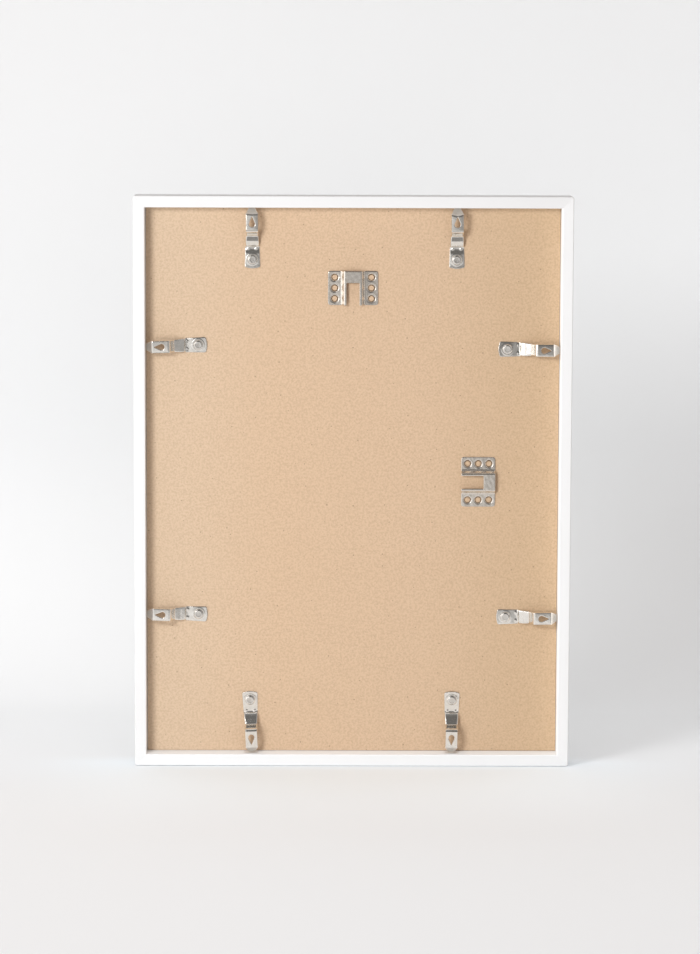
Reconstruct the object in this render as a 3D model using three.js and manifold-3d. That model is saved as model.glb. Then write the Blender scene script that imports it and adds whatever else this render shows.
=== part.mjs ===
// Wooden picture frame for a 30 x 40 cm picture, standing upright.
// Millimetres. The glazed front faces -Y and the back faces +Y, X runs along the width, Z is up.
// The origin is under the middle of the bottom rail. Left and right are as seen from the back,
// so left is +X.
import * as THREE from 'three';
import { mergeVertices } from 'three/addons/utils/BufferGeometryUtils.js';
import Module from 'manifold-3d';

const wasm = await Module();
wasm.setup();

// Sheets laid into the frame from the back
const pictureWidth = 300;
const pictureHeight = 400;
const sheetMargin = 1.25; // the glazing and the panel reach this far past the picture
const glazingThickness = 2;
const printThickness = 0.25;
const panelThickness = 3;

// Mouldings: a wall round the sheets, and a lip that holds them in at the front
const rabbetClearance = 0.25; // from a sheet's edge to the rabbet wall
const wallWidth = 8.5;
const lipReach = 7.5;
const lipThickness = 4.5;
const railDepth = 25;
const arrisRadius = 0.8;
const lipArrisRadius = 0.4;
const cornerRadius = 1.6;

// Wedge nails, one behind the other inside each mitre
const nailInset = 2.5; // from the outer faces to the nail's back
const nailLeg = 5;
const nailThickness = 0.5;
const nailHeight = 7;
const nailsPerMitre = 2;
const nailCover = 1.25; // wood and filler between the back face and the first nail
const nailSpacing = 9;
const nailClearance = 0.3;

// Turn clips: strips of spring steel that press on the rabbet wall
const rivetInset = 38.25; // rivet to rabbet wall
const topLeftRivetX = 73.5; // these eight are distances from the frame's middle, along the rail
const topRightRivetX = 75.75;
const leftUpperRivetZ = 100.5;
const leftLowerRivetZ = 98.75;
const bottomLeftRivetX = 75.25;
const bottomRightRivetX = 74.25;
const rightUpperRivetZ = 98;
const rightLowerRivetZ = 100.5;
const clipThickness = 0.6;
const clipRootReach = 6.5; // rivet to the rounded end
const clipRootWidth = 11.4;
const clipEndBow = 0.9; // how far the rounded end swells past its corners
const clipCornerRadius = 1.2;
const clipBendWidth = 10.4;
const clipCrestWidth = 9;
const clipPanelWidth = 9.5;
const clipTipWidth = 4.8;
const firstBend = 9.2; // these five are distances from the rivet
const rampReach = 13.3;
const crestReach = 17.4;
const panelStart = 19.8;
const panelEnd = 33.4;
const rampRise = 3.3; // these four are heights over the clip's root
const crestRise = 4.4;
const panelRise = 11;
const tipRise = 6.8;
const bendRadius = 1.2;
const tipClearance = 0.3;
const teardropRadius = 2.2;
const teardropReach = 26.25; // rivet to the middle of the teardrop's round end
const teardropPoint = 5.5; // from there to its point

// Rivets
const shankRadius = 1.45;
const headRadius = 3.6;
const headTopRadius = 2.8;
const headThickness = 1.1;
const headEdge = 0.35;
const clinchRadius = 2.6;
const clinchThickness = 0.7;
const clinchEdge = 0.4;
const clinchRecess = 0.15; // clinched end to the panel's front face
const runningGap = 0.3; // round the shank, and above and below the clip

// Hangers: a raised bridge between two flanges, with barbs pressed into the panel
const hangerInset = 46.5; // rabbet wall to the hanger's near edge
const hangerWidth = 36.7;
const hangerLength = 25;
const hangerThickness = 0.8;
const hangerCorner = 2;
const bridgeWidth = 13.1;
const bridgeRise = 3.2;
const foldWidth = 2.1;
const foldRadius = 0.7;
const notchWidth = 9.5;
const bridgeLength = 8.6; // what is left of the bridge above the notch
const barbPitch = 7.8;
const barbSpread = 13.4; // barb rows, from the hanger's middle
const barbRadius = 2.2; // of the punched hole
const barbWall = 0.4;
const barbDepth = 1.5;
const barbClearance = 0.3;
const barbsPerRow = 3;

// Cutting tools reach this far past what they cut
const overrun = 1;

// Fineness of round shapes
const bendSteps = 3;
const holeSteps = 8;
const latheSteps = 24;

// The frame's own sizes follow from the sheets
const sheetWidth = pictureWidth + 2 * sheetMargin;
const sheetHeight = pictureHeight + 2 * sheetMargin;
const rabbetWidth = sheetWidth + 2 * rabbetClearance;
const rabbetHeight = sheetHeight + 2 * rabbetClearance;
const frameWidth = rabbetWidth + 2 * wallWidth;
const frameHeight = rabbetHeight + 2 * wallWidth;
const middleZ = frameHeight / 2;
const frontY = -railDepth / 2;
const backY = railDepth / 2;
const glazingY = frontY + lipThickness;
const printY = glazingY + glazingThickness;
const panelY = printY + printThickness;
const panelBackY = panelY + panelThickness;

// A closed outline whose corners, given as [x, y, radius], are rounded
function softOutline(corners) {
  const shape = new THREE.Shape();
  corners.forEach(([x, y, radius], i) => {
    const [beforeX, beforeY] = corners[(i + corners.length - 1) % corners.length];
    const [afterX, afterY] = corners[(i + 1) % corners.length];
    const back = radius / Math.hypot(beforeX - x, beforeY - y);
    const on = radius / Math.hypot(afterX - x, afterY - y);
    const start = [x + (beforeX - x) * back, y + (beforeY - y) * back];
    if (i === 0) {
      shape.moveTo(...start);
    } else {
      shape.lineTo(...start);
    }
    if (radius > 0) {
      shape.quadraticCurveTo(x, y, x + (afterX - x) * on, y + (afterY - y) * on);
    }
  });
  shape.closePath();
  return shape;
}

// A rectangle round a middle point
function rectangle(width, height, radius = 0, x = 0, y = 0) {
  return softOutline([
    [x - width / 2, y - height / 2, radius],
    [x + width / 2, y - height / 2, radius],
    [x + width / 2, y + height / 2, radius],
    [x - width / 2, y + height / 2, radius],
  ]);
}

function circle(radius, x = 0, y = 0) {
  const shape = new THREE.Shape();
  shape.absarc(x, y, radius, 0, Math.PI * 2);
  return shape;
}

// A prism over an outline drawn in X and Z, between two heights along Y
function prism(shape, low, high, curveSegments = bendSteps) {
  const geometry = new THREE.ExtrudeGeometry(shape, {
    depth: high - low,
    bevelEnabled: false,
    curveSegments,
  });
  return geometry.translate(0, 0, -high).rotateX(Math.PI / 2);
}

// The outline of a bent strip of sheet metal, from the line that its middle follows
function stripOutline(corners, thickness) {
  const line = new THREE.Path();
  corners.forEach(([x, y, radius], i) => {
    if (i === 0) {
      line.moveTo(x, y);
      return;
    }
    if (i === corners.length - 1 || !radius) {
      line.lineTo(x, y);
      return;
    }
    const from = new THREE.Vector2(...corners[i - 1]).sub(new THREE.Vector2(x, y)).setLength(radius);
    const to = new THREE.Vector2(...corners[i + 1]).sub(new THREE.Vector2(x, y)).setLength(radius);
    line.lineTo(x + from.x, y + from.y);
    line.quadraticCurveTo(x, y, x + to.x, y + to.y);
  });
  const middle = line.getPoints(bendSteps);
  const sides = [[], []];
  middle.forEach((point, i) => {
    const before = middle[Math.max(i - 1, 0)];
    const after = middle[Math.min(i + 1, middle.length - 1)];
    const into = point.clone().sub(before).normalize();
    const out = after.clone().sub(point).normalize();
    const run = into.clone().add(out).normalize();
    const lean = Math.max(run.dot(into.lengthSq() ? into : out), 0.5);
    const offset = new THREE.Vector2(-run.y, run.x).multiplyScalar(thickness / 2 / lean);
    sides[0].push(point.clone().add(offset));
    sides[1].push(point.clone().sub(offset));
  });
  return new THREE.Shape([...sides[0], ...sides[1].reverse()]);
}

// Solids for cutting and joining
function solidOf(geometry) {
  const bare = geometry.clone();
  bare.deleteAttribute('normal');
  bare.deleteAttribute('uv');
  const merged = mergeVertices(bare, 1e-5);
  return new wasm.Manifold(new wasm.Mesh({
    numProp: 3,
    vertProperties: merged.attributes.position.array,
    triVerts: new Uint32Array(merged.index.array),
  }));
}

function geometryOf(solid) {
  const { vertProperties, triVerts } = solid.getMesh();
  const geometry = new THREE.BufferGeometry();
  geometry.setAttribute('position', new THREE.BufferAttribute(vertProperties, 3));
  geometry.setIndex(new THREE.BufferAttribute(triVerts, 1));
  geometry.computeVertexNormals();
  return geometry;
}

// Finishes
const finishes = {
  paintedWood: { color: 0xf6f5f2, roughness: 0.5, metalness: 0 },
  hardboard: { color: 0xcfae87, roughness: 0.85, metalness: 0 },
  clearSheet: { color: 0xeef3f2, roughness: 0.05, metalness: 0, transparent: true, opacity: 0.3 },
  paper: { color: 0xf1efe9, roughness: 0.9, metalness: 0 },
  springSteel: { color: 0xb9b6b0, roughness: 0.28, metalness: 1 },
  zincSteel: { color: 0xa9a59d, roughness: 0.4, metalness: 1 },
  nailSteel: { color: 0x8c8a86, roughness: 0.45, metalness: 1 },
};

const pictureFrame = new THREE.Group();

function addPiece(name, geometry, finish, parent = pictureFrame) {
  const mesh = new THREE.Mesh(geometry, new THREE.MeshStandardMaterial(finishes[finish]));
  mesh.name = name;
  parent.add(mesh);
  return mesh;
}

// Wedge nail: two legs at a right angle, one in each rail, seen along Y from the mitre's corner.
// "grow" widens it into the slot that takes it.
function nailOutline(cornerX, towardsX, grow = 0) {
  const near = nailInset - grow;
  const inner = nailInset + nailThickness + grow;
  const far = nailInset + nailLeg + grow;
  const turns = [[near, near], [far, near], [far, inner], [inner, inner], [inner, far], [near, far]];
  return new THREE.Shape(turns.map(([a, r]) => new THREE.Vector2(cornerX + towardsX * a, -r)));
}

const nailTops = Array.from({ length: nailsPerMitre }, (_, i) => backY - nailCover - i * nailSpacing);

// Rail: the moulding's section drawn inwards from its outer face, run along the rail and mitred.
// Its outer face lies at z = 0 and its wall hangs down from there, as on the top rail.
const faceWidth = wallWidth + lipReach;
const railSection = softOutline([
  [0, frontY, arrisRadius],
  [faceWidth, frontY, arrisRadius],
  [faceWidth, glazingY, lipArrisRadius],
  [wallWidth, glazingY, 0],
  [wallWidth, backY, arrisRadius],
  [0, backY, arrisRadius],
]);

function railGeometry(length) {
  const geometry = new THREE.ExtrudeGeometry(railSection, {
    depth: 1,
    bevelEnabled: false,
    curveSegments: bendSteps,
  });
  const points = geometry.attributes.position;
  for (let i = 0; i < points.count; i += 1) {
    const inward = points.getX(i);
    const along = (points.getZ(i) - 0.5) * (length - 2 * inward);
    points.setXYZ(i, along, points.getY(i), -inward);
  }
  let rail = solidOf(geometry);
  [-1, 1].forEach((end) => {
    const cornerX = (end * length) / 2;
    const rounded = new THREE.Shape();
    rounded.moveTo(cornerX - end * cornerRadius, 0);
    rounded.lineTo(cornerX - end * cornerRadius, overrun);
    rounded.lineTo(cornerX + end * overrun, overrun);
    rounded.lineTo(cornerX + end * overrun, -cornerRadius);
    rounded.lineTo(cornerX, -cornerRadius);
    rounded.quadraticCurveTo(cornerX, 0, cornerX - end * cornerRadius, 0);
    rail = rail.subtract(solidOf(prism(rounded, frontY - overrun, backY + overrun)));
    nailTops.forEach((top) => {
      const slot = nailOutline(cornerX, -end, nailClearance);
      rail = rail.subtract(solidOf(prism(slot, top - nailHeight - nailClearance, top + nailClearance)));
    });
  });
  return geometryOf(rail);
}

[
  { name: 'rail_top', length: frameWidth, x: 0, z: frameHeight, turn: 0 },
  { name: 'rail_left', length: frameHeight, x: frameWidth / 2, z: middleZ, turn: 1 },
  { name: 'rail_bottom', length: frameWidth, x: 0, z: 0, turn: 2 },
  { name: 'rail_right', length: frameHeight, x: -frameWidth / 2, z: middleZ, turn: 3 },
].forEach(({ name, length, x, z, turn }) => {
  const rail = addPiece(name, railGeometry(length), 'paintedWood');
  rail.position.set(x, 0, z);
  rail.rotation.y = (turn * Math.PI) / 2;
});

// Wedge nails, two in each mitre
[
  { corner: 'top_left', x: frameWidth / 2, z: frameHeight, turn: 0 },
  { corner: 'bottom_left', x: frameWidth / 2, z: 0, turn: 1 },
  { corner: 'bottom_right', x: -frameWidth / 2, z: 0, turn: 2 },
  { corner: 'top_right', x: -frameWidth / 2, z: frameHeight, turn: 3 },
].forEach(({ corner, x, z, turn }) => {
  nailTops.forEach((top, i) => {
    const nail = prism(nailOutline(0, -1), top - nailHeight, top);
    const mesh = addPiece(`wedge_nail_${corner}_${i + 1}`, nail, 'nailSteel');
    mesh.position.set(x, 0, z);
    mesh.rotation.y = (turn * Math.PI) / 2;
  });
});

// Sheets: the glazing lies on the lip, the print on the glazing, the panel on the print
const glazing = prism(rectangle(sheetWidth, sheetHeight), glazingY, printY);
addPiece('glazing', glazing, 'clearSheet').position.z = middleZ;
const print = prism(rectangle(pictureWidth, pictureHeight), printY, panelY);
addPiece('print_sheet', print, 'paper').position.z = middleZ;

// Clip stations: where each rivet sits (from the frame's middle), which way the clip points (in
// degrees about Y, 0 is up), and how far it was left turned from square
const rivetX = rabbetWidth / 2 - rivetInset;
const rivetZ = rabbetHeight / 2 - rivetInset;
const clipStations = [
  { place: 'top_left', x: topLeftRivetX, z: rivetZ, points: 0, askew: 0.3 },
  { place: 'top_right', x: -topRightRivetX, z: rivetZ, points: 0, askew: 0 },
  { place: 'left_upper', x: rivetX, z: leftUpperRivetZ, points: 90, askew: 1.5 },
  { place: 'left_lower', x: rivetX, z: -leftLowerRivetZ, points: 90, askew: -1.8 },
  { place: 'bottom_left', x: bottomLeftRivetX, z: -rivetZ, points: 180, askew: 2.4 },
  { place: 'bottom_right', x: -bottomRightRivetX, z: -rivetZ, points: 180, askew: -0.9 },
  { place: 'right_upper', x: -rivetX, z: rightUpperRivetZ, points: -90, askew: -0.2 },
  { place: 'right_lower', x: -rivetX, z: -rightLowerRivetZ, points: -90, askew: 0.7 },
].map((station) => ({ ...station, z: middleZ + station.z }));

// Hanger stations: the near edge faces the rail that is on top when the frame hangs
const hangerReach = hangerInset + hangerLength / 2;
const hangerStations = [
  { name: 'hanger_portrait', x: 0, z: middleZ + rabbetHeight / 2 - hangerReach, turn: 0 },
  { name: 'hanger_landscape', x: hangerReach - rabbetWidth / 2, z: middleZ, turn: -1 },
];

const barbPlaces = [];
[-1, 1].forEach((side) => {
  for (let i = 0; i < barbsPerRow; i += 1) {
    barbPlaces.push([side * barbSpread, (i - (barbsPerRow - 1) / 2) * barbPitch]);
  }
});

// Back panel: hardboard with a stepped hole for each rivet and a ring cut for each barb
function panelGeometry() {
  const board = rectangle(sheetWidth, sheetHeight, 0, 0, middleZ);
  let panel = solidOf(prism(board, panelY, panelBackY));
  clipStations.forEach(({ x, z }) => {
    const hole = circle(shankRadius + runningGap, x, z);
    const seat = circle(clinchRadius + runningGap, x, z);
    const seatDepth = clinchThickness + clinchRecess;
    panel = panel.subtract(solidOf(prism(hole, panelY - overrun, panelBackY + overrun, holeSteps)));
    panel = panel.subtract(solidOf(prism(seat, panelY - overrun, panelY + seatDepth, holeSteps)));
  });
  hangerStations.forEach(({ x, z, turn }) => {
    barbPlaces.forEach(([across, up]) => {
      const ring = circle(barbRadius + barbWall + barbClearance, across, up);
      ring.holes.push(circle(barbRadius - barbClearance, across, up));
      const bottom = panelBackY - barbDepth - barbClearance;
      const cut = prism(ring, bottom, panelBackY + overrun, holeSteps);
      cut.rotateY((turn * Math.PI) / 2).translate(x, 0, z);
      panel = panel.subtract(solidOf(cut));
    });
  });
  return geometryOf(panel);
}

addPiece('back_panel', panelGeometry(), 'hardboard');

// Turn clip, pointing up from its rivet at the origin; its root lies just over the panel
function clipGeometry() {
  const tipReach = rivetInset - tipClearance;
  const rootY = runningGap + clipThickness / 2;
  const top = rootY + panelRise + clipThickness;
  const side = stripOutline([
    [-clipRootReach - overrun, rootY],
    [firstBend, rootY, bendRadius],
    [rampReach, rootY + rampRise, bendRadius],
    [crestReach, rootY + crestRise, bendRadius],
    [panelStart, rootY + panelRise, bendRadius],
    [panelEnd, rootY + panelRise, bendRadius],
    [tipReach, rootY + tipRise],
    [2 * tipReach - panelEnd, rootY + 2 * tipRise - panelRise],
  ], clipThickness);
  const strip = new THREE.ExtrudeGeometry(side, { depth: clipRootWidth, bevelEnabled: false });
  strip.translate(0, 0, -clipRootWidth / 2).rotateY(-Math.PI / 2);
  const rightEdge = [
    [clipRootWidth / 2, clipEndBow - clipRootReach, clipCornerRadius],
    [clipBendWidth / 2, firstBend, 0],
    [clipCrestWidth / 2, crestReach, 0],
    [clipPanelWidth / 2, panelStart + bendRadius, 0],
    [clipPanelWidth / 2, panelEnd, 0],
    [clipTipWidth / 2, tipReach, 0],
  ];
  const leftEdge = rightEdge.map(([x, z, radius]) => [-x, z, radius]).reverse();
  const roundEnd = [0, -clipRootReach - clipEndBow / 2, clipRootWidth / 4];
  const plan = softOutline([roundEnd, ...rightEdge, ...leftEdge]);
  const tangent = Math.asin(teardropRadius / teardropPoint);
  const teardrop = new THREE.Shape();
  teardrop.absarc(0, teardropReach, teardropRadius, tangent, Math.PI - tangent, true);
  teardrop.lineTo(0, teardropReach + teardropPoint);
  teardrop.closePath();
  return geometryOf(solidOf(strip)
    .intersect(solidOf(prism(plan, 0, top)))
    .subtract(solidOf(prism(circle(shankRadius + runningGap), 0, top, holeSteps)))
    .subtract(solidOf(prism(teardrop, 0, top, holeSteps))));
}

// Rivet: turned about Y, from the clinched end in the panel's front to the head over the clip
function rivetGeometry() {
  const clinchFront = panelY - panelBackY + clinchRecess;
  const headUnder = clipThickness + 2 * runningGap;
  const profile = [
    [0, clinchFront],
    [clinchRadius, clinchFront],
    [clinchRadius, clinchFront + clinchEdge],
    [shankRadius, clinchFront + clinchThickness],
    [shankRadius, headUnder],
    [headRadius, headUnder],
    [headRadius, headUnder + headEdge],
    [headTopRadius, headUnder + headThickness],
    [0, headUnder + headThickness],
  ];
  return new THREE.LatheGeometry(profile.map(([r, y]) => new THREE.Vector2(r, y)), latheSteps);
}

clipStations.forEach(({ place, x, z, points, askew }) => {
  const station = new THREE.Group();
  station.position.set(x, panelBackY, z);
  pictureFrame.add(station);
  const clip = addPiece(`turn_clip_${place}`, clipGeometry(), 'springSteel', station);
  clip.rotation.y = ((points + askew) * Math.PI) / 180;
  addPiece(`rivet_${place}`, rivetGeometry(), 'springSteel', station);
});

// Hanger: a hat-shaped strip with a notch cut into its bridge, and hollow barbs under its flanges
function hangerGeometry() {
  const half = hangerThickness / 2;
  const fold = bridgeWidth / 2 + foldWidth;
  const hat = stripOutline([
    [-hangerWidth / 2, half],
    [-fold, half, foldRadius],
    [-bridgeWidth / 2, half + bridgeRise, foldRadius],
    [bridgeWidth / 2, half + bridgeRise, foldRadius],
    [fold, half, foldRadius],
    [hangerWidth / 2, half],
  ], hangerThickness);
  const plate = new THREE.ExtrudeGeometry(hat, { depth: hangerLength, bevelEnabled: false });
  plate.translate(0, 0, -hangerLength / 2);
  const top = hangerThickness + bridgeRise + overrun;
  const notchLength = hangerLength - bridgeLength;
  const notchZ = -hangerLength / 2 + notchLength / 2;
  const notch = rectangle(notchWidth, notchLength + 2 * overrun, 0, 0, notchZ - overrun);
  let hanger = solidOf(plate)
    .intersect(solidOf(prism(rectangle(hangerWidth, hangerLength, hangerCorner), -overrun, top)))
    .subtract(solidOf(prism(notch, -overrun, top)));
  barbPlaces.forEach(([across, up]) => {
    const barb = circle(barbRadius + barbWall, across, up);
    const hole = circle(barbRadius, across, up);
    hanger = hanger
      .add(solidOf(prism(barb, -barbDepth, half, holeSteps)))
      .subtract(solidOf(prism(hole, -barbDepth - overrun, top, holeSteps)));
  });
  return geometryOf(hanger);
}

hangerStations.forEach(({ name, x, z, turn }) => {
  const hanger = addPiece(name, hangerGeometry(), 'zincSteel');
  hanger.position.set(x, panelBackY, z);
  hanger.rotation.y = (turn * Math.PI) / 2;
});

export default pictureFrame;
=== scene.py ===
# Wooden picture frame for a 30 x 40 cm picture, standing upright and seen from its back.
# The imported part's frame in metres: the back faces +Y, Z is up, and +X is left as seen from
# the back. Piece sizes are in millimetres.
import math

import bmesh
import bpy
import numpy as np
from mathutils import Matrix, Vector
from mathutils.geometry import delaunay_2d_cdt


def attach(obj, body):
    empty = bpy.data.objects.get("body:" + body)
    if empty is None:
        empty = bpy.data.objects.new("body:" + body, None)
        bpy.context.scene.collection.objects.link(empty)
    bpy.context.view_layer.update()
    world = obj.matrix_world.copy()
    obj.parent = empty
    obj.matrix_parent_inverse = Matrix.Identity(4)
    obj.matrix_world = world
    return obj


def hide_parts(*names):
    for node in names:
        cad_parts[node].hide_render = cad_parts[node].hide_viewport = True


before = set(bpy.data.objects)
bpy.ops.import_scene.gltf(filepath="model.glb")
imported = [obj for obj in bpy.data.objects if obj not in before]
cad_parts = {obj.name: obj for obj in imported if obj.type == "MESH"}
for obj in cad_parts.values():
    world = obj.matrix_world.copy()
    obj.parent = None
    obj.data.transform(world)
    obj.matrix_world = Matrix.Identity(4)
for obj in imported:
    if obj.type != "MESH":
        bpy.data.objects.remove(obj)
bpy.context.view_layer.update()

# Rails: four lengths of wood moulding, mitred, glued and nailed at the corners, and sprayed with
# satin white paint. A wall stands round the sheets and a lip holds them in at the front.
MM = 0.001
FRAME_WIDTH = 320
FRAME_HEIGHT = 420
FRONT_Y, LIP_Y, BACK_Y = -12.5, -8, 12.5
WALL_WIDTH = 8.5
FACE_WIDTH = 16
ARRIS_RADIUS = 0.8
LIP_ARRIS_RADIUS = 0.4
CORNER_RADIUS = 1.6
MITRE_RELIEF = 0.06
MITRE_GAP = 0.005
ARRIS_STEPS = 5
CORNER_STEPS = 5


class Socket:
    """One output of a shader node. Arithmetic on it adds Math nodes to its material."""

    def __init__(self, output):
        self.output = output

    def node(self, kind, settings, inputs, result=0):
        """A node beside this one: its settings, then its sockets, then one of its outputs."""
        tree = self.output.id_data
        made = tree.nodes.new("ShaderNode" + kind)
        for name, value in settings.items():
            if name == "stops":
                points = made.color_ramp.elements
                while len(points) < len(value):
                    points.new(1)
                for point, (position, colour) in zip(points, value):
                    point.position = position
                    point.color = (*colour, 1)
            else:
                setattr(made, name, value)
        for name, value in inputs.items():
            socket = made.inputs[name]
            if isinstance(value, Socket):
                tree.links.new(value.output, socket)
            elif socket.type == "RGBA":
                socket.default_value = (*value, 1)
            else:
                socket.default_value = value
        return Socket(made.outputs[result]) if made.outputs else None

    def beside(self, name):
        """Another output of the same node."""
        return Socket(self.output.node.outputs[name])

    def maths(self, operation, *others):
        """A Math node on this value and then the others."""
        return self.node("Math", {"operation": operation}, dict(enumerate((self, *others))))

    def __add__(self, other):
        return self.maths("ADD", other)

    def __sub__(self, other):
        return self.maths("SUBTRACT", other)

    def __mul__(self, other):
        return self.maths("MULTIPLY", other)

    def __truediv__(self, other):
        return self.maths("DIVIDE", other)

    def __rsub__(self, other):
        return self.node("Math", {"operation": "SUBTRACT"}, {0: other, 1: self})

    __radd__ = __add__
    __rmul__ = __mul__

    def between(self, low, high):
        """0 where the value is low or less, 1 where it is high or more, smooth between."""
        return self.node(
            "MapRange",
            {"interpolation_type": "SMOOTHSTEP"},
            {"Value": self, "From Min": low, "From Max": high},
        )

    def mix(self, first, second):
        """The first colour where this value is 0, the second where it is 1."""
        return self.node("Mix", {"data_type": "RGBA"}, {0: self, 6: first, 7: second}, 2)

    def stretched(self, x, y, z):
        """A place with each of its axes multiplied: below 1, its clouds get longer that way."""
        return self.node("VectorMath", {"operation": "MULTIPLY"}, {0: self, 1: (x, y, z)})

    def noise(self, size, detail=2.0, roughness=0.5, result="Fac"):
        """Clouds about the given number of millimetres across."""
        inputs = {"Vector": self, "Scale": 1 / size, "Detail": detail, "Roughness": roughness}
        return self.node("TexNoise", {}, inputs, result)

    def bump(self, depth, normal=None):
        """Treats the value as relief, the given number of millimetres deep."""
        inputs = {"Height": self, "Distance": depth * MM, "Strength": 1.0}
        if normal:
            inputs["Normal"] = normal
        return self.node("Bump", {}, inputs)


def new_finish(name):
    """An empty material, and the place of a point on its own piece in millimetres."""
    material = bpy.data.materials.new(name)
    material.use_nodes = True
    material.node_tree.nodes.clear()
    coordinates = material.node_tree.nodes.new("ShaderNodeTexCoord")
    place = Socket(coordinates.outputs["Object"])
    scale = {0: place, "Scale": 1 / MM}
    return material, place.node("VectorMath", {"operation": "SCALE"}, scale)


def cover(place, inputs):
    """Ends a material in one surface shader."""
    shader = place.node("BsdfPrincipled", {}, inputs, "BSDF")
    place.node("OutputMaterial", {"target": "ALL"}, {"Surface": shader})


def rounded(corners, steps):
    """A closed outline whose corners, given as (x, y, radius), are rounded."""
    outline = []
    for i, (x, y, radius) in enumerate(corners):
        here = Vector((x, y))
        before = (Vector(corners[i - 1][:2]) - here).normalized() * radius
        after = (Vector(corners[(i + 1) % len(corners)][:2]) - here).normalized() * radius
        if radius == 0:
            outline.append((x, y))
            continue
        for t in np.linspace(0, 1, steps + 1):
            point = here + before * (1 - t) ** 2 + after * t**2
            outline.append(tuple(point))
    return outline


def joined(loops):
    """Points and faces of a solid from equal loops, joined one to the next, with flat ends."""
    count = len(loops[0])
    faces = [
        (k * count + i, k * count + (i + 1) % count,
         (k + 1) * count + (i + 1) % count, (k + 1) * count + i)
        for k in range(len(loops) - 1)
        for i in range(count)
    ]
    faces += [tuple(range(count)), tuple(range((len(loops) - 1) * count, len(loops) * count))]
    return [point for loop in loops for point in loop], faces


def new_piece(name, points, faces, finish, body, matrix, smooth_degrees):
    """A piece of the object from points in millimetres, riding on a body."""
    mesh = bpy.data.meshes.new(name)
    mesh.from_pydata([tuple(float(c) * MM for c in p) for p in points], [], faces)
    shell = bmesh.new()
    shell.from_mesh(mesh)
    bmesh.ops.remove_doubles(shell, verts=shell.verts, dist=1e-7)
    bmesh.ops.recalc_face_normals(shell, faces=shell.faces)
    shell.to_mesh(mesh)
    shell.free()
    mesh.shade_smooth()
    mesh.set_sharp_from_angle(angle=math.radians(smooth_degrees))
    mesh.materials.append(finish)
    piece = bpy.data.objects.new(name, mesh)
    bpy.context.scene.collection.objects.link(piece)
    piece.matrix_world = matrix
    flat_faces = piece.modifiers.new("flat faces stay flat", "WEIGHTED_NORMAL")
    flat_faces.keep_sharp = True
    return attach(piece, body)


def turned_about_y(x, y, z, degrees):
    """Puts a piece made at the origin at a place in millimetres, turned about Y."""
    return Matrix.Translation(Vector((x, y, z)) * MM) @ Matrix.Rotation(
        math.radians(degrees), 4, "Y"
    )


white_paint, at = new_finish("satin_white_paint")
fibres = at.stretched(0.05, 1, 1).noise(0.9, 3, 0.6)
sprayed = at.noise(1.6, 2, 0.5)
cloudy = at.noise(38, 2, 0.5)
cover(at, {
    "Base Color": cloudy.mix((0.775, 0.778, 0.78), (0.795, 0.80, 0.803)),
    "Roughness": 0.34 + 0.1 * sprayed + 0.06 * cloudy,
    "Normal": sprayed.bump(0.006, fibres.bump(0.012)),
})


def moulding_section(inset):
    """The rail's section as (inwards from its outer face, Y), drawn in by the inset."""
    outer, back, front = inset, BACK_Y - inset, FRONT_Y + inset
    arris = ARRIS_RADIUS - inset
    return rounded([
        (outer, front, arris),
        (CORNER_RADIUS, front, 0),
        (FACE_WIDTH - inset, front, arris),
        (FACE_WIDTH - inset, LIP_Y - inset, LIP_ARRIS_RADIUS - inset),
        (WALL_WIDTH - inset, LIP_Y - inset, 0),
        (WALL_WIDTH - inset, back, arris),
        (CORNER_RADIUS, back, 0),
        (outer, back, arris),
    ], ARRIS_STEPS)


def rail(length):
    """Points and faces of a mitred rail that lies along X, its outer face up at Z = 0."""
    whole, relieved = moulding_section(0), moulding_section(MITRE_RELIEF)
    half = length / 2

    def ring(section, degrees, gap):
        """The section where the outer corner has turned by some degrees: a half of the rail."""
        angle, loop = math.radians(degrees), []
        for inward, y in section:
            swing = CORNER_RADIUS - inward
            along = half - inward
            if swing > 0:
                along = half - CORNER_RADIUS + swing * math.sin(angle)
                inward = CORNER_RADIUS - swing * math.cos(angle)
            loop.append((along - gap, y, -inward))
        return loop

    turns = np.linspace(0, 45, CORNER_STEPS + 1)
    end = [ring(whole, turn, MITRE_RELIEF) for turn in turns]
    end.append(ring(relieved, 45, MITRE_GAP))
    mirrored = [[(-x, y, z) for x, y, z in loop] for loop in reversed(end)]
    return joined(mirrored + end)


for name, length, x, z, turn in (
    ("rail_top", FRAME_WIDTH, 0, FRAME_HEIGHT, 0),
    ("rail_left", FRAME_HEIGHT, FRAME_WIDTH / 2, FRAME_HEIGHT / 2, 90),
    ("rail_bottom", FRAME_WIDTH, 0, 0, 180),
    ("rail_right", FRAME_HEIGHT, -FRAME_WIDTH / 2, FRAME_HEIGHT / 2, 270),
):
    points, faces = rail(length)
    placed = turned_about_y(x, 0, z, turn)
    made = new_piece(
        f"{name}_moulding", points, faces, white_paint, "frame", placed,
        smooth_degrees=35,
    )
    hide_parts(name)

# Wedge nails: two bent strips of rolled steel inside each mitre, driven in from the back and
# covered with filler.
rolled_steel, at = new_finish("rolled_nail_steel")
rolling = at.stretched(1, 0.08, 1).noise(0.35, 3, 0.6)
stains = at.noise(2.5, 3, 0.6)
cover(at, {
    "Base Color": stains.mix((0.36, 0.35, 0.33), (0.5, 0.49, 0.47)),
    "Metallic": 1.0,
    "Roughness": 0.32 + 0.2 * stains,
    "Normal": rolling.bump(0.01),
})
for name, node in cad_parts.items():
    if name.startswith("wedge_nail"):
        node.material_slots[0].material = rolled_steel

# Glazing: a clear sheet that lies against the lip, its edges ground, with a little dust and
# wiping on it.
GLAZING_WIDTH = 302.5
GLAZING_HEIGHT = 402.5
GLAZING_BACK_Y = -6.03
GLAZING_EDGE = 0.3
SHEET_CORNER = 0.5
SHEET_CORNER_STEPS = 3


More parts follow.
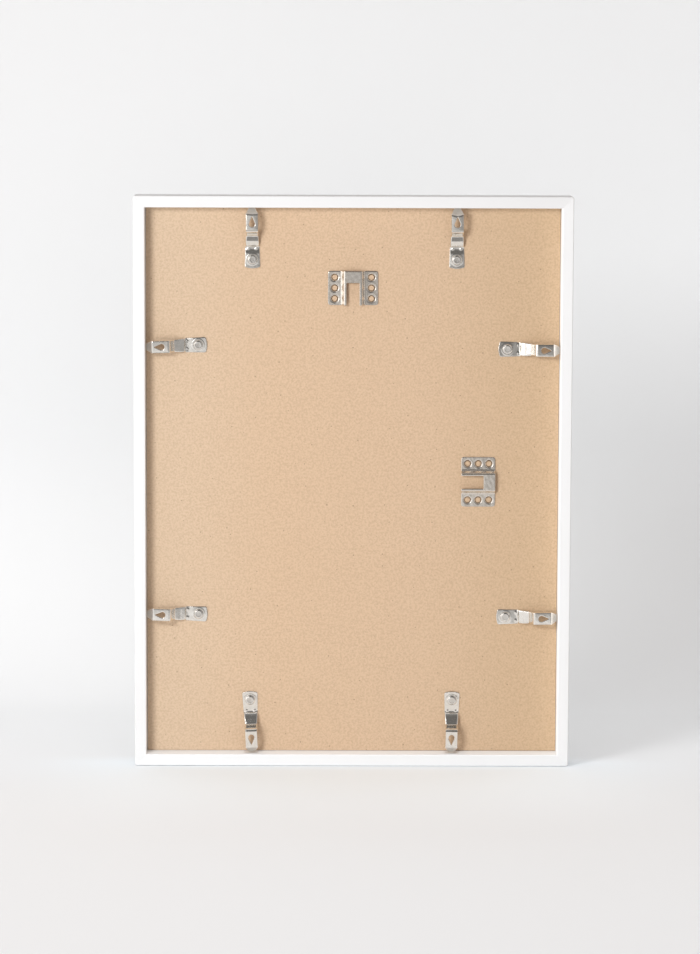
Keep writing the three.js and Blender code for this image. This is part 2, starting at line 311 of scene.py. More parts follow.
def laid_sheet(node, width, height, front, back, edge, finish):
    """A flat sheet that stands upright in the frame, its edges eased all round."""
    loops = []
    for y, inset in ((front, edge), (front + edge, 0), (back - edge, 0), (back, edge)):
        outline = rounded([
            (side_x * (width / 2 - inset), side_z * (height / 2 - inset), SHEET_CORNER)
            for side_x, side_z in ((-1, -1), (1, -1), (1, 1), (-1, 1))
        ], SHEET_CORNER_STEPS)
        loops.append([(x, y, z) for x, z in outline])
    points, faces = joined(loops)
    middle = turned_about_y(0, 0, FRAME_HEIGHT / 2, 0)
    made = new_piece(
        f"{node}_laid", points, faces, finish, "frame", middle, smooth_degrees=30
    )
    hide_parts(node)


clear_sheet, at = new_finish("clear_glazing")
wiped = at.stretched(1, 1, 0.25).noise(30, 3, 0.6).between(0.45, 0.8)
dust = at.noise(0.7, 1, 0.5).between(0.72, 0.8)
gloss = at.node("BsdfPrincipled", {}, {
    "Base Color": (1, 1, 1),
    "Metallic": 1.0,
    "Roughness": 0.03 + 0.08 * wiped,
}, "BSDF")
through = at.node("BsdfTransparent", {}, {"Color": (0.975, 0.985, 0.98)})
fresnel = at.node("Fresnel", {}, {"IOR": 1.5})
from_outside = 1 - at.node("NewGeometry", {}, {}, "Backfacing")
share = (fresnel + 0.01 * wiped + 0.03 * dust) * from_outside
both = at.node("MixShader", {}, {0: share, 1: through, 2: gloss})
at.node("OutputMaterial", {"target": "ALL"}, {"Surface": both})
laid_sheet(
    "glazing", GLAZING_WIDTH, GLAZING_HEIGHT, LIP_Y, GLAZING_BACK_Y, GLAZING_EDGE,
    clear_sheet,
)

# Print: the plain paper sheet that fills the picture's place, matt, with a fine tooth. It lies
# a hair behind the glazing.
PRINT_WIDTH = 300
PRINT_HEIGHT = 400
PRINT_FRONT_Y = -5.98
PRINT_BACK_Y = -5.77
PRINT_EDGE = 0.04
plain_paper, at = new_finish("plain_paper")
tooth = at.stretched(1, 1, 0.7).noise(0.5, 3, 0.65)
pulp = at.noise(7, 3, 0.6)
cover(at, {
    "Base Color": pulp.mix((0.83, 0.82, 0.79), (0.87, 0.865, 0.845)),
    "Roughness": 0.82 + 0.12 * tooth,
    "Normal": tooth.bump(0.02),
})
laid_sheet(
    "print_sheet", PRINT_WIDTH, PRINT_HEIGHT, PRINT_FRONT_Y, PRINT_BACK_Y, PRINT_EDGE,
    plain_paper,
)

# Back panel: a hardboard sheet of pressed wood fibre, smooth and speckled on the side that
# shows, with the mesh marks of the press on the side toward the print.
MESH_PITCH = 1.9
CUT_EDGE_BROWN = (0.36, 0.24, 0.15)
hardboard, at = new_finish("speckled_hardboard")
x = at.node("SeparateXYZ", {}, {0: at}, "X")
z = x.beside("Z")
flat = at.node("CombineXYZ", {}, {"X": x, "Y": z})


def specks(cell, radius, spread):
    """Small round marks, one to a cell, each of its own size."""
    inputs = {"Vector": flat, "Scale": 1 / cell, "Randomness": 1.0}
    spot = flat.node("TexVoronoi", {"voronoi_dimensions": "2D"}, inputs, "Distance")
    tint = spot.beside("Color")
    size = tint.node("SeparateColor", {}, {0: tint}, "Red")
    reach = (radius + spread * size) / cell
    return (spot / reach).between(1.0, 0.55)


wander = at.noise(9, 1, 0.5, "Color")
drift = at.node("VectorMath", {"operation": "MULTIPLY_ADD"}, {0: wander, 1: (9, 0, 9), 2: at})
blotches = at.noise(1.5, 2, 0.5)
grit = at.noise(0.8, 2, 0.6)
tints = at.noise(5.5, 2, 0.5)
sweeps = at.noise(60, 2, 0.5)
level_fibres = drift.stretched(0.22, 1, 1.6).noise(0.8, 2, 0.6)
upright_fibres = drift.stretched(1.5, 1, 0.2).noise(0.8, 2, 0.6)
dark_specks = specks(19, 0.25, 0.4)
faint_specks = specks(6, 0.16, 0.36)
tan = tints.mix((0.640, 0.462, 0.310), (0.655, 0.480, 0.330))
tan = (0.65 * blotches + 0.35 * grit).between(0.36, 0.6).mix((0.555, 0.395, 0.262), tan)
tan = (level_fibres.between(0.62, 0.72) * 0.35).mix(tan, (0.70, 0.53, 0.375))
tan = (upright_fibres.between(0.62, 0.72) * 0.4).mix(tan, (0.52, 0.37, 0.245))
tan = (sweeps.between(0.3, 0.7) * 0.12).mix(tan, (0.60, 0.43, 0.285))
tan = (faint_specks * 0.3).mix(tan, CUT_EDGE_BROWN)
tan = (dark_specks * 0.62).mix(tan, (0.22, 0.145, 0.09))
# painted light falloff: the sheet is painted paler at its left edge, toward the lamps, and browner
# and darker at its right, away from them
painted_light_falloff = x.between(45, 150).mix((1.0, 1.0, 1.0), (1.0, 1.045, 1.09))
painted_light_falloff = x.between(-40, -145).mix(painted_light_falloff, (0.93, 0.92, 0.87))
tan = at.node("VectorMath", {"operation": "MULTIPLY"}, {0: tan, 1: painted_light_falloff})
facing = at.node("NewGeometry", {}, {}, "True Normal")
facing_y = facing.node("SeparateXYZ", {}, {0: facing}, "Y")
cut_edge = facing_y.maths("ABSOLUTE").between(0.7, 0.3)
tan = cut_edge.mix(tan, CUT_EDGE_BROWN)
print_side = facing_y.between(-0.3, -0.7)
weave_x, weave_z = ((axis * (2 * math.pi / MESH_PITCH)).maths("SINE") for axis in (x, z))
mesh_marks = weave_x * weave_z * print_side
tan = (print_side * 0.5).mix(tan, (0.44, 0.31, 0.2))
relief = blotches.bump(0.03, grit.bump(0.018, mesh_marks.bump(0.12)))
cover(at, {
    "Base Color": tan,
    "Roughness": 0.62 + 0.2 * grit,
    "Specular IOR Level": 0.3,
    "Normal": relief,
})
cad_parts["back_panel"].material_slots[0].material = hardboard

# Hangers: hat-shaped plates of zinc-plated steel, one for each way of hanging. A notch in the
# raised bridge takes the nail, and punched barbs under the flanges hold the plate in the panel.
PANEL_BACK_Y = -2.75
HANGER_WIDTH = 36.7
HANGER_LENGTH = 25
HANGER_THICKNESS = 0.8
HANGER_CLEARANCE = 0.15
HANGER_CORNER = 2
BRIDGE_WIDTH = 13.1
BRIDGE_RISE = 3.2
FOLD_WIDTH = 1.8
FOLD_RADIUS = 0.75
FLANGE_LIFT = 0.15
NOTCH_WIDTH = 9.5
NOTCH_RADIUS = 0.5
BRIDGE_LENGTH = 8.6
BARB_PITCH = 7.8
BARB_SPREAD = 13.4
BARB_RADIUS = 2.1
BARB_ROLL = 0.95
BARB_DROP = 1.5
BARB_STEPS = 36
CUT_SPACING = 0.42
CUT_ROUNDING = 0.1
CUT_MARGIN = 0.2
HANGER_SPACING = 0.6


def step(value, low, high):
    """0 at low, 1 at high, smooth between, for numbers and arrays."""
    t = np.clip((value - low) / (high - low), 0, 1)
    return t * t * (3 - 2 * t)


def bend(value, radius):
    """A line that is level below 0 and rises one for one above it, with a rounded corner."""
    near = np.clip(value + radius, 0, 2 * radius)
    return near**2 / (4 * radius) + np.maximum(value - radius, 0)


def inside(points, outline):
    """True for the points within a closed outline."""
    a, b = np.array(outline), np.roll(np.array(outline), -1, axis=0)
    px, py = points[:, :1], points[:, 1:]
    crosses = (a[:, 1] > py) != (b[:, 1] > py)
    rise = np.where(b[:, 1] == a[:, 1], 1, b[:, 1] - a[:, 1])
    return (crosses & (px < a[:, 0] + (py - a[:, 1]) * (b[:, 0] - a[:, 0]) / rise)).sum(1) % 2 == 1


def far_from(points, outline, distance):
    """True for the points that keep a distance from every side of an outline."""
    a, b = np.array(outline), np.roll(np.array(outline), -1, axis=0)
    side = b - a
    length = np.maximum((side**2).sum(1), 1e-12)
    gap = points[:, None, :] - a[None]
    t = np.clip((gap * side[None]).sum(2) / length, 0, 1)
    return (np.linalg.norm(gap - t[..., None] * side[None], axis=2) >= distance).all(1)


def closely(outline, spacing):
    """The same closed outline with no side longer than the spacing."""
    fine = []
    for i, start in enumerate(outline):
        start, end = Vector(start), Vector(outline[(i + 1) % len(outline)])
        steps = max(1, math.ceil((end - start).length / spacing))
        fine += [tuple(start.lerp(end, k / steps)) for k in range(steps)]
    return fine


def drawn_in(outline, distance):
    """The outline moved sideways, to the left of the way it runs."""
    points = np.array(outline)
    forward = np.roll(points, -1, axis=0) - points
    forward /= np.linalg.norm(forward, axis=1, keepdims=True)
    both = forward + np.roll(forward, 1, axis=0)
    both /= np.maximum(np.linalg.norm(both, axis=1, keepdims=True), 1e-9)
    return [tuple(p) for p in points + np.stack([-both[:, 1], both[:, 0]], 1) * distance]


def pressed_sheet(outline, holes, rows, columns, top, thickness, rounding, spread=None):
    """Points and faces of sheet metal. The outline runs anticlockwise and the holes clockwise,
    both as (across, along) in plan, and top gives the height of the upper skin. The cut edges
    are rounded. Spread says how far along the unbent strip a place is."""
    # the plan: each cut edge, a line just inside it, and a grid of points between them
    spread = spread or (lambda along: along)
    cuts = [closely(loop, CUT_SPACING) for loop in [outline, *holes]]
    rings = [loop for cut in cuts for loop in (cut, drawn_in(cut, rounding))]
    grid = np.array([(across, along) for along in rows for across in columns])
    keep = inside(grid, cuts[0]) & far_from(grid, cuts[0], rounding + CUT_MARGIN)
    for cut in cuts[1:]:
        keep &= ~inside(grid, cut) & far_from(grid, cut, rounding + CUT_MARGIN)
    flat_points, edges, at_cut = [], [], set()
    for i, ring in enumerate(rings):
        first = len(flat_points)
        if i % 2 == 0:
            at_cut |= set(range(first, first + len(ring)))
        edges += [(first + k, first + (k + 1) % len(ring)) for k in range(len(ring))]
        flat_points += ring
    flat_points += [tuple(p) for p in grid[keep]]

    # triangles between them, without those outside the sheet or in its holes
    laid_out = [Vector((across, float(spread(along)))) for across, along in flat_points]
    made, _, triangles, sources, _, _ = delaunay_2d_cdt(laid_out, edges, [], 0, 1e-5)
    plan = np.array([flat_points[source[0]] for source in sources])
    cut_edge = np.array([any(s in at_cut for s in source) for source in sources])
    middles = np.array([plan[list(t)].mean(0) for t in triangles])
    solid = inside(middles, cuts[0])
    for cut in cuts[1:]:
        solid &= ~inside(middles, cut)
    triangles = [t for t, kept in zip(triangles, solid) if kept]

    # the plan lifted to the upper skin, and the lower skin under it by the sheet's thickness
    across, along = plan[:, 0], plan[:, 1]
    nudge = 0.01
    lean_across = (top(across + nudge, along) - top(across - nudge, along)) / (2 * nudge)
    lean_along = (top(across, along + nudge) - top(across, along - nudge)) / (2 * nudge)
    normal = np.stack([-lean_across, np.ones(len(plan)), -lean_along], 1)
    normal /= np.linalg.norm(normal, axis=1, keepdims=True)
    skin = np.stack([across, top(across, along), along], 1)
    drop = np.where(cut_edge, rounding, 0)[:, None]
    upper, lower = skin - normal * drop, skin - normal * (thickness - drop)

    # the walls between the skins stand on the sides that only one triangle has
    count = len(plan)
    used = {}
    for a, b, c in triangles:
        for pair in ((a, b), (b, c), (c, a)):
            used[frozenset(pair)] = None if frozenset(pair) in used else pair
    faces = list(triangles) + [(c + count, b + count, a + count) for a, b, c in triangles]
    faces += [(a, b, b + count, a + count) for a, b in filter(None, used.values())]
    return np.concatenate([upper, lower]), faces


def circle(across, along, radius, steps):
    """A hole's outline, clockwise."""
    turns = np.linspace(0, -2 * math.pi, steps, endpoint=False)
    return [(across + radius * math.cos(t), along + radius * math.sin(t)) for t in turns]


def steel(name, light, dark, roughness, grain_stretch, grain_depth, dent_depth):
    """Plated sheet steel: faint clouds in its tone, rolled grain and small dents."""
    material, at = new_finish(name)
    own = at.node("ObjectInfo", {}, {}, "Random")
    shift = at.node("CombineXYZ", {}, {"X": own * 97, "Y": own * 41, "Z": own * 63})
    at = at.node("VectorMath", {"operation": "ADD"}, {0: at, 1: shift})
    clouds = at.noise(3.5, 3, 0.6)
    grain = at.stretched(*grain_stretch).noise(0.32, 3, 0.65)
    pits = at.noise(0.55, 2, 0.6)
    dents = at.noise(1.5, 2, 0.55)
    scuffs = at.noise(0.9, 3, 0.7).between(0.62, 0.74)
    cover(at, {
        "Base Color": (0.6 * clouds + 0.4 * grain).between(0.25, 0.75).mix(dark, light),
        "Metallic": 1.0,
        "Roughness": roughness + 0.05 * pits + 0.14 * scuffs,
        "Normal": dents.bump(dent_depth, grain.bump(grain_depth)),
    })
    return material


hanger_steel = steel(
    "zinc_plated_steel", (0.84, 0.78, 0.71), (0.72, 0.66, 0.59), 0.15, (1, 1, 0.3), 0.005, 0.008
)
FOLD_FOOT = BRIDGE_WIDTH / 2 + FOLD_WIDTH
FOLD_SLOPE = BRIDGE_RISE / FOLD_WIDTH
barb_places = [
    (side * BARB_SPREAD, row * BARB_PITCH) for side in (-1, 1) for row in (-1, 0, 1)
]


def hanger_top(seed):
    """Height over the panel of a hanger's upper skin: flanges, folds, bridge, rolled barb holes."""
    chance = np.random.RandomState(seed)
    phases = chance.uniform(0, 2 * math.pi, 3)

    def top(across, along):
        out = np.abs(across)
        rise = bend(FOLD_FOOT - out, FOLD_RADIUS) - bend(BRIDGE_WIDTH / 2 - out, FOLD_RADIUS)
        height = HANGER_THICKNESS + FOLD_SLOPE * rise
        height += FLANGE_LIFT * step(out, HANGER_WIDTH / 2, FOLD_FOOT)
        for x, z in barb_places:
            away = np.hypot(across - x, along - z)
            height -= BARB_DROP * step(away, BARB_RADIUS + BARB_ROLL, BARB_RADIUS - 0.5)
        height += 0.012 * np.sin(across * 1.3 + phases[0]) * np.sin(along * 0.9 + phases[1])
        return height + 0.008 * np.sin(across * 0.7 + along * 2.1 + phases[2])

    return top


def hanger_outline():
    """The plate's outline with the nail's notch, as (across, along)."""
    half_width, half_length = HANGER_WIDTH / 2, HANGER_LENGTH / 2
    notch, notch_end = NOTCH_WIDTH / 2, half_length - BRIDGE_LENGTH
    return rounded([
        (-half_width, -half_length, HANGER_CORNER),
        (-notch, -half_length, 0.3),
        (-notch, notch_end, NOTCH_RADIUS),
        (notch, notch_end, NOTCH_RADIUS),
        (notch, -half_length, 0.3),
        (half_width, -half_length, HANGER_CORNER),
        (half_width, half_length, HANGER_CORNER),
        (-half_width, half_length, HANGER_CORNER),
    ], 5)


fold_columns = [
    side * (middle + shift)
    for side in (-1, 1)
    for middle in (BRIDGE_WIDTH / 2, FOLD_FOOT)
    for shift in np.linspace(-FOLD_RADIUS, FOLD_RADIUS, 6)
]
plain_columns = [
    c for c in np.arange(-18, 18.01, HANGER_SPACING)
    if min(abs(abs(c) - BRIDGE_WIDTH / 2), abs(abs(c) - FOLD_FOOT)) > FOLD_RADIUS + 0.15
]
hanger_columns = sorted(fold_columns + plain_columns)
hanger_rows = np.arange(-12.3, 12.31, HANGER_SPACING)
barb_holes = [circle(*place, BARB_RADIUS, BARB_STEPS) for place in barb_places]
for name, x, z, turn, seed in (
    ("hanger_portrait", 0, 352.5, 0, 4), ("hanger_landscape", -92.5, 210, -90, 9),
):
    points, faces = pressed_sheet(
        hanger_outline(), barb_holes, hanger_rows, hanger_columns, hanger_top(seed),
        HANGER_THICKNESS - HANGER_CLEARANCE, CUT_ROUNDING,
    )
    placed = turned_about_y(x, PANEL_BACK_Y, z, turn)
    made = new_piece(
        f"{name}_plate", points, faces, hanger_steel, "panel", placed,
        smooth_degrees=50,
    )
    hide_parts(name)

# Turn clips: strips of plated spring steel that swivel on their rivets and press on the rails'
# inner walls. Each has a rounded root, a ramp, a step up to a crowned crest with a teardrop
# hole, and a tip bent down to the wall.
CLIP_THICKNESS = 0.6
ROOT_HEIGHT = 0.9
ROOT_REACH = 6.5
ROOT_HALF_WIDTH = 5.7
END_BOW = 0.9
END_CORNER = 1.2
END_LIFT = 0.12
RAMP_REACH = 9.2
RAMP_HALF_WIDTH = 5.2
STEP_REACH = 17.4
STEP_HALF_WIDTH = 4.5
CREST_REACH = 21
CREST_HALF_WIDTH = 4.75
CREST_HEIGHT = 11.9
CREST_END = 33.4
TIP_REACH = 37.95
TIP_HALF_WIDTH = 2.4
TIP_HEIGHT = 7.7
TIP_BEND_RADIUS = 0.7
TEARDROP_RADIUS = 2.2
TEARDROP_REACH = 26.25
TEARDROP_POINT = 5.5
RIVET_HOLE = 1.75
BOSS_RADIUS = 4.6
BOSS_RIM = 0.35
BOSS_DEPTH = 0.1
DISH_DEPTH = 0.5
DIMPLE_REACH = 8.1
DIMPLE_SPREAD = 3.0
DIMPLE_HEIGHT = 0.42
EDGE_BAND = 0.7
SKIRT_BAND = 0.45
CLIP_SPACING = 0.4
# distance from the rivet, change of slope and roundness of the four bends
CLIP_BENDS = (
    (8.9, 0.805, 0.5), (12.9, -0.537, 1.2), (17.4, 1.932, 0.6), (20.4, -2.2, 1.4),
)
# distance from the rivet, and half the strip's width there
HALF_WIDTHS = (
    (-ROOT_REACH, ROOT_HALF_WIDTH), (RAMP_REACH, RAMP_HALF_WIDTH), (STEP_REACH, STEP_HALF_WIDTH),
    (CREST_REACH, CREST_HALF_WIDTH), (CREST_END, CREST_HALF_WIDTH), (TIP_REACH, TIP_HALF_WIDTH),
)
clip_steel = steel(
    "plated_spring_steel", (0.92, 0.885, 0.835), (0.80, 0.76, 0.70), 0.12, (1, 1, 0.2), 0.004, 0.009
)


def clip_top(seed, crease, lean):
    """Height over the panel of a clip's upper skin. Crease is how far the tip's bend runs into
    the crest at its middle, and lean is the slope across the whole clip."""
    chance = np.random.RandomState(seed)
    phases = chance.uniform(0, 2 * math.pi, 4)
    reaches, widths = zip(*HALF_WIDTHS)

    def top(across, along):
        half = np.interp(along, reaches, widths)
        out = np.abs(across)
        height = np.full(np.shape(along), ROOT_HEIGHT)
        for reach, change, radius in CLIP_BENDS:
            height += change * bend(along - reach, radius)
        tip_bend = CREST_END - crease * np.maximum(0, 1 - out / CREST_HALF_WIDTH)
        slope = (CREST_HEIGHT - TIP_HEIGHT) / (TIP_REACH - tip_bend)
        height -= slope * bend(along - tip_bend, TIP_BEND_RADIUS)

        # the root: dished before the ramp, sunk round the rivet's boss, its end a little lifted
        height -= DISH_DEPTH * step(along, 3.6, 8.2) * step(along, 10.4, 8.8)
        away = np.hypot(across, along)
        height -= BOSS_DEPTH * step(away, BOSS_RADIUS - BOSS_RIM, BOSS_RADIUS + BOSS_RIM)
        height += END_LIFT * step(-along, 3.2, 6.6)

        # the long edges: rounded over, then turned down into a low skirt beside ramp and crest
        rounded_over = 0.1 + 0.4 * step(along, 18.5, 21.5)
        height -= rounded_over * np.clip(out - (half - EDGE_BAND), 0, None) ** 2
        skirt = 0.3 * step(along, 8.9, 10.5) + 2.0 * step(along, 20.5, 22)
        height -= skirt * step(along, CREST_END, 32.4) * step(out, half - SKIRT_BAND, half)
        crown = 0.03 + 0.12 * step(along, 18.5, 22)
        height -= crown * (across / CREST_HALF_WIDTH) ** 2

        for side in (-1, 1):
            to_dimple = (along - DIMPLE_REACH) ** 2 + (across - side * DIMPLE_SPREAD) ** 2
            height += DIMPLE_HEIGHT * np.exp(-to_dimple / 0.75)
        height += lean * across
        height += 0.014 * np.sin(along * 0.8 + phases[0]) * np.sin(across * 0.9 + phases[1])
        return height + 0.006 * np.sin(along * 1.9 + phases[2]) * np.sin(across * 2.3 + phases[3])

    return top


clip_outline = rounded([
    (-TIP_HALF_WIDTH, TIP_REACH, 0.35),
    (-CREST_HALF_WIDTH, CREST_END, 0.5),
    (-CREST_HALF_WIDTH, CREST_REACH, 0),
    (-STEP_HALF_WIDTH, STEP_REACH, 0),
    (-RAMP_HALF_WIDTH, RAMP_REACH, 0),
    (-ROOT_HALF_WIDTH, END_BOW - ROOT_REACH, END_CORNER),
    (0, -ROOT_REACH - END_BOW / 2, ROOT_HALF_WIDTH / 2),
    (ROOT_HALF_WIDTH, END_BOW - ROOT_REACH, END_CORNER),
    (RAMP_HALF_WIDTH, RAMP_REACH, 0),
    (STEP_HALF_WIDTH, STEP_REACH, 0),
    (CREST_HALF_WIDTH, CREST_REACH, 0),
    (CREST_HALF_WIDTH, CREST_END, 0.5),
    (TIP_HALF_WIDTH, TIP_REACH, 0.35),
], 5)
tangent = math.asin(TEARDROP_RADIUS / TEARDROP_POINT)
teardrop = [
    (TEARDROP_RADIUS * math.cos(t), TEARDROP_REACH + TEARDROP_RADIUS * math.sin(t))
    for t in np.linspace(tangent, -math.pi - tangent, 30)
]
teardrop.append((0, TEARDROP_REACH + TEARDROP_POINT))

# the strip's length along its bends, so that the steep parts get as many rows as the flat ones
centre_line = np.arange(-8, 39, 0.02)
centre_heights = clip_top(0, 0, 0)(np.zeros(len(centre_line)), centre_line)
unbent = np.concatenate(
    [[0], np.cumsum(np.hypot(np.diff(centre_line), np.diff(centre_heights)))]
)
clip_rows = np.interp(np.arange(0, unbent[-1], CLIP_SPACING), unbent, centre_line)
clip_columns = np.arange(-5.4, 5.41, 0.54)

# place, rivet's X and Z, the way it points, how far it was left turned, crease and lean
clip_stations = (
    ("top_left", 73.5, 373.25, 0, 0.3, 0.3, 0),
    ("top_right", -75.75, 373.25, 0, 0, 1.6, 0),
    ("left_upper", 113.25, 310.5, 90, 1.5, 0, 0),
    ("left_lower", 113.25, 111.25, 90, -1.8, 0.2, 0),
    ("bottom_left", 75.25, 46.75, 180, 2.4, 0, 0),
    ("bottom_right", -74.25, 46.75, 180, -0.9, 0.2, 0),
    ("right_upper", -113.25, 308, -90, -0.2, 0.3, -0.055),
    ("right_lower", -113.25, 109.5, -90, 0.7, 0.1, 0),
)
for seed, (place, x, z, points_to, askew, crease, lean) in enumerate(clip_stations):
    points, faces = pressed_sheet(
        clip_outline, [circle(0, 0, RIVET_HOLE, 28), teardrop], clip_rows, clip_columns,
        clip_top(seed, crease, lean), CLIP_THICKNESS, CUT_ROUNDING,
        lambda along: np.interp(along, centre_line, unbent),
    )
    placed = turned_about_y(x, PANEL_BACK_Y, z, points_to + askew)
    made = new_piece(
        f"turn_clip_{place}_strip", points, faces, clip_steel,
        f"clip_{place}", placed, smooth_degrees=50,
    )
    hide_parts(f"turn_clip_{place}")

# Rivets: turned steel, one through each clip and the panel. The domed head holds the clip and
# the clinched end is sunk in the panel's front.
RIVET_STEPS = 48
RIVET_TILT = 0.03
HEAD_DOME_FOOT = 1.8
# the half section, as (radius, height over the panel's back)
RIVET_SECTION = (
    (2.6, -2.85), (2.6, -2.45), (1.45, -2.15), (1.45, 1.2), (3.45, 1.2), (3.58, 1.26),
    (3.6, 1.38), (3.56, 1.5), (3.42, 1.66), (3.2, 1.84), (2.92, 2.02), (2.66, 2.15),
    (2.46, 2.22), (2.3, 2.26), (2.15, 2.26), (1.9, 2.235), (1.5, 2.22), (0.8, 2.21),
)
rivet_steel = steel(
    "turned_rivet_steel", (0.88, 0.84, 0.79), (0.68, 0.64, 0.59), 0.2, (1, 1, 1), 0.008, 0.02
)
for seed, (place, x, z, *_) in enumerate(clip_stations):
    chance = np.random.RandomState(100 + seed)
    tilt_x, tilt_z = chance.uniform(-RIVET_TILT, RIVET_TILT, 2)
    loops = []
    for radius, height in RIVET_SECTION:
        loop = []
        for k in range(RIVET_STEPS):
            turn = 2 * math.pi * k / RIVET_STEPS
            across, up = radius * math.cos(turn), radius * math.sin(turn)
            leaning = (tilt_x * across + tilt_z * up) * (height > HEAD_DOME_FOOT)
            loop.append((across, height + leaning, up))
        loops.append(loop)
    points, faces = joined(loops)
    placed = turned_about_y(x, PANEL_BACK_Y, z, 0)
    made = new_piece(
        f"rivet_{place}_turned", points, faces, rivet_steel, "panel", placed,
        smooth_degrees=40,
    )
    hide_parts(f"rivet_{place}")

# Studio: a pale paper sweep that lies on the floor and rises behind the frame, a soft box ahead
# of the frame's back on its left, a white board further left, a soft room and the camera.
SWEEP_FLOOR_END = -200
SWEEP_RADIUS = 200
SWEEP_WALL = SWEEP_FLOOR_END - SWEEP_RADIUS
SWEEP_REACH = 2600
SWEEP_DROP = 0.2
TABLE_REACH = 400
TABLE_DROP = 0.1
sweep_paper, at = new_finish("pale_sweep_paper")
along = at.node("SeparateXYZ", {}, {0: at}, "X")
outward = along.beside("Y")
paper_grain = at.noise(600, 2, 0.5)
# painted light falloff: the paper is painted brighter toward +X, where the lamps stand, and darker
# toward -X
pale = along.between(-420, 320).mix((0.76, 0.78, 0.795), (0.815, 0.835, 0.85))
pale = (paper_grain * 0.1).mix(pale, (0.735, 0.755, 0.77))
# painted light: a brighter, bluer patch on the floor from the frame's back out toward the camera,
# near the middle
near = outward.between(250, 10) * along.maths("ABSOLUTE").between(260, 120)
pale = (near * outward.between(-30, 5)).mix(pale, (0.86, 0.92, 0.96))
surface = at.node("BsdfPrincipled", {}, {
    "Base Color": pale, "Roughness": 0.95, "Specular IOR Level": 0.0,
}, "BSDF")
nothing = at.node("BsdfTransparent", {}, {})
far_off = at.node("VectorMath", {"operation": "LENGTH"}, {0: at}, "Value").between(1100, 2400)
from_behind = at.node("NewGeometry", {}, {}, "Backfacing")
unseen = far_off.maths("MAXIMUM", from_behind)
ends = at.node("MixShader", {}, {0: unseen, 1: surface, 2: nothing})
at.node("OutputMaterial", {"target": "ALL"}, {"Surface": ends})
sweep_only = bpy.data.collections.new("sweep only")
all_but_sweep = bpy.data.collections.new("all but the sweep")
right_rail = bpy.data.collections.new("right rail only")
right_rail.objects.link(bpy.data.objects["rail_right_moulding"])
bottom_rail = bpy.data.collections.new("bottom rail only")
bottom_rail.objects.link(bpy.data.objects["rail_bottom_moulding"])


def stage_sheet(name, line, reach):
    """A sheet of the sweep's paper: a line of (Y, Z) drawn out along X, normals up or to +Y."""
    mesh = bpy.data.meshes.new(name)
    points = [(side * reach * MM, y * MM, z * MM) for y, z in line for side in (1, -1)]
    faces = [(2 * i, 2 * i + 1, 2 * i + 3, 2 * i + 2) for i in range(len(line) - 1)]
    mesh.from_pydata(points, [], faces)
    mesh.shade_smooth()
    mesh.materials.append(sweep_paper)
    sheet = bpy.data.objects.new(name, mesh)
    bpy.context.scene.collection.objects.link(sheet)
    sweep_only.objects.link(sheet)
    all_but_sweep.objects.link(sheet)
    return sheet


turns = np.radians(np.linspace(0, 90, 25))
curve = [
    (SWEEP_FLOOR_END - SWEEP_RADIUS * math.sin(t), SWEEP_RADIUS * (1 - math.cos(t))) for t in turns
]
sweep = stage_sheet("sweep", [(SWEEP_REACH, 0), *curve, (SWEEP_WALL, SWEEP_REACH)], SWEEP_REACH)
sweep.location.z = -SWEEP_DROP * MM
sweep.visible_glossy = False
table = stage_sheet("table", [(TABLE_REACH, 0), (0, 0)], TABLE_REACH)
table.location.z = -TABLE_DROP * MM
table.visible_camera = table.visible_diffuse = table.visible_shadow = False
for linked in all_but_sweep.collection_objects:
    linked.light_linking.link_state = "EXCLUDE"


def lamp(name, kind, place, aim, power, lights):
    """A lamp in metres that lights only what a collection says. The camera doesn't see it."""
    light = bpy.data.lights.new(name, kind)
    light.energy = power
    lamp_object = bpy.data.objects.new(name, light)
    bpy.context.scene.collection.objects.link(lamp_object)
    lamp_object.location = place
    lamp_object.rotation_euler = (Vector(aim) - Vector(place)).to_track_quat("-Z", "Y").to_euler()
    lamp_object.visible_camera = False
    lamp_object.light_linking.receiver_collection = lights
    return lamp_object


def soft_box(name, place, aim, width, height, power):
    """A glowing sheet near the frame, which doesn't light the paper."""
    box = lamp(name, "AREA", place, aim, power, all_but_sweep)
    box.data.shape = "RECTANGLE"
    box.data.size, box.data.size_y = width, height
    return box


def distant(name, towards, softness, power, lights):
    """Light from far away, from a patch that many degrees wide."""
    sky = lamp(name, "SUN", towards, (0, 0, 0), power, lights)
    sky.data.angle = math.radians(softness)
    return sky


# two boxes only light the frame, and the other two are only mirrored in it
key_box = soft_box("key_box", (0.53, 1.15, 0.64), (0, 0, 0.21), 0.34, 0.2, 7.9)
key_box.data.color = (0.96, 1.0, 1.03)
key_box.visible_glossy = False
sheen_box = soft_box("sheen_box", (0.53, 1.15, 0.52), (0, 0, 0.21), 0.42, 0.3, 1.3)
sheen_box.visible_diffuse = False
low_fill = soft_box("low_fill", (0.6, 1.15, 0.12), (0, 0, 0.21), 0.36, 0.26, 4.6)
low_fill.visible_glossy = False
white_board = soft_box("white_board", (1.7, 0.5, 0.6), (0, 0.05, 0.25), 1.3, 1.2, 5.0)
white_board.visible_diffuse = False
# three lights for the paper, one for the frame's front, and a card for each of two rails
distant("overhead", (0, 0, 3), 60, 1.08, sweep_only)
distant("low_window", (0.69, 0.73, 0.33), 24, 1.55, sweep_only)
distant("front_card", (-0.05, 1, 0.2), 50, 0.55, sweep_only)
distant("front_window", (-0.5, -1, 0.7), 30, 0.9, all_but_sweep)
distant("side_card", (1, 0.15, 0.1), 20, 1.9, right_rail)
top_card = distant("top_card", (0, 0.12, 1), 10, 1.15, bottom_rail)
top_card.data.color = (0.93, 1.0, 1.05)

# the room: what the metal mirrors of it, what it gives as soft light, and its plain tone
world = bpy.data.worlds.new("studio")
bpy.context.scene.world = world
world.use_nodes = True
world.node_tree.nodes.clear()
room = Socket(world.node_tree.nodes.new("ShaderNodeTexCoord").outputs["Generated"])
to_x = room.node("SeparateXYZ", {}, {0: room}, "X")
to_y, to_z = to_x.beside("Y"), to_x.beside("Z")


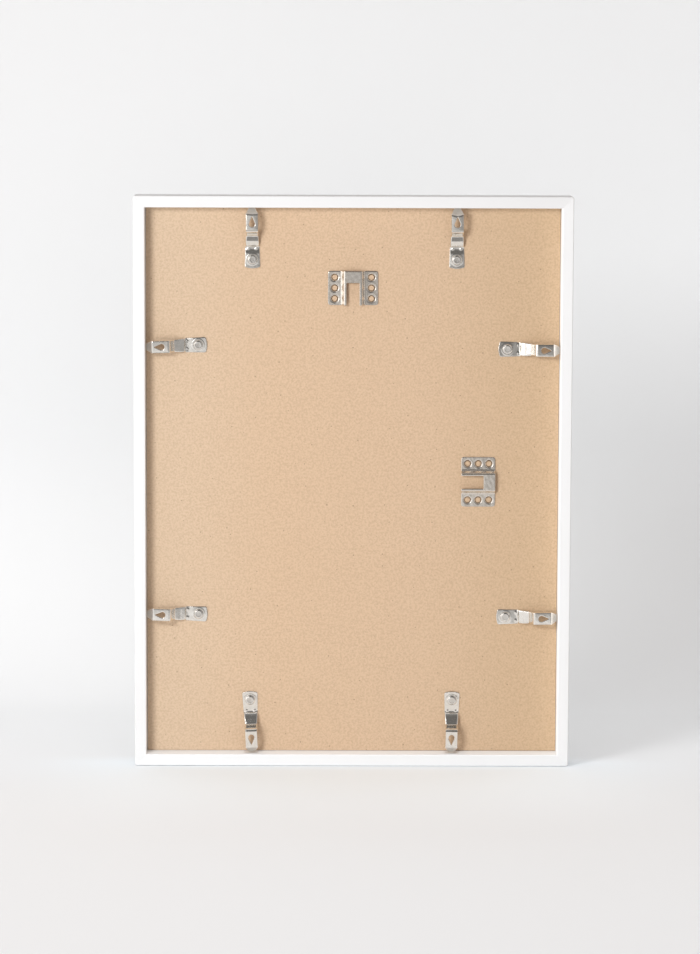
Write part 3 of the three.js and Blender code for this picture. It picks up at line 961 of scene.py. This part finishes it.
def greys(*stops):
    """Stops of a ramp over height, from -1 straight down to 1 straight up."""
    return [((height + 1) / 2, (grey, grey, grey)) for height, grey in stops]


by_height = (to_z + 1) * 0.5
ahead = to_z.node(
    "ValToRGB",
    {"stops": greys((-1, 0.5), (-0.62, 0.26), (-0.4, 0.3), (-0.26, 0.9), (-0.17, 0.85),
                    (-0.08, 0.68), (0.02, 0.5), (0.14, 0.15), (0.92, 0.16), (0.99, 0.8))},
    {0: by_height}, "Color",
)
dim_ahead = to_x.between(0.04, -0.08) * to_z.between(-0.26, -0.08)
lit_side = to_x.between(0.2, 0.5)
dark_side = to_x.between(-0.12, -0.5)
mirrored = (dim_ahead * 0.6).mix(ahead, (0.16, 0.15, 0.14))
mirrored = (lit_side * 0.85).mix(mirrored, (0.94, 0.94, 0.94))
mirrored = (dark_side * 0.8).mix(mirrored, (0.42, 0.42, 0.42))
mirrored = to_y.between(0.1, -0.3).mix(mirrored, (0.6, 0.6, 0.6))
direct = room.node("LightPath", {}, {}, "Is Camera Ray")
in_metal = direct.beside("Is Glossy Ray")
walls = in_metal.mix((0.465, 0.415, 0.39), mirrored)
walls = direct.mix(walls, (0.862, 0.862, 0.862))
glow = room.node("Background", {}, {"Color": walls, "Strength": 1.0})
room.node("OutputWorld", {"target": "ALL"}, {"Surface": glow})

scene = bpy.context.scene
scene.view_settings.view_transform = "Standard"
scene.view_settings.look = "None"

# the camera stands 2.5 m behind the frame, a little above its top, and looks slightly down
CAMERA_PLACE = (0.01901, 2.55412, 0.5312)
YAW, PITCH, ROLL = (math.radians(a) for a in (0.386, 7.088, 0.191))
away = Vector((math.sin(YAW) * math.cos(PITCH), math.cos(YAW) * math.cos(PITCH), math.sin(PITCH)))
level = Vector((-math.cos(YAW), math.sin(YAW), 0))
upward = away.cross(level)
right = math.cos(ROLL) * level + math.sin(ROLL) * upward
up = math.cos(ROLL) * upward - math.sin(ROLL) * level
camera = bpy.data.objects.new("camera", bpy.data.cameras.new("camera"))
scene.collection.objects.link(camera)
camera.data.sensor_width = 36
camera.data.lens = 132.163
camera.data.clip_start, camera.data.clip_end = 0.05, 60
camera.matrix_world = Matrix.Translation(CAMERA_PLACE) @ Matrix(
    (right, up, away)
).transposed().to_4x4()
scene.camera = camera
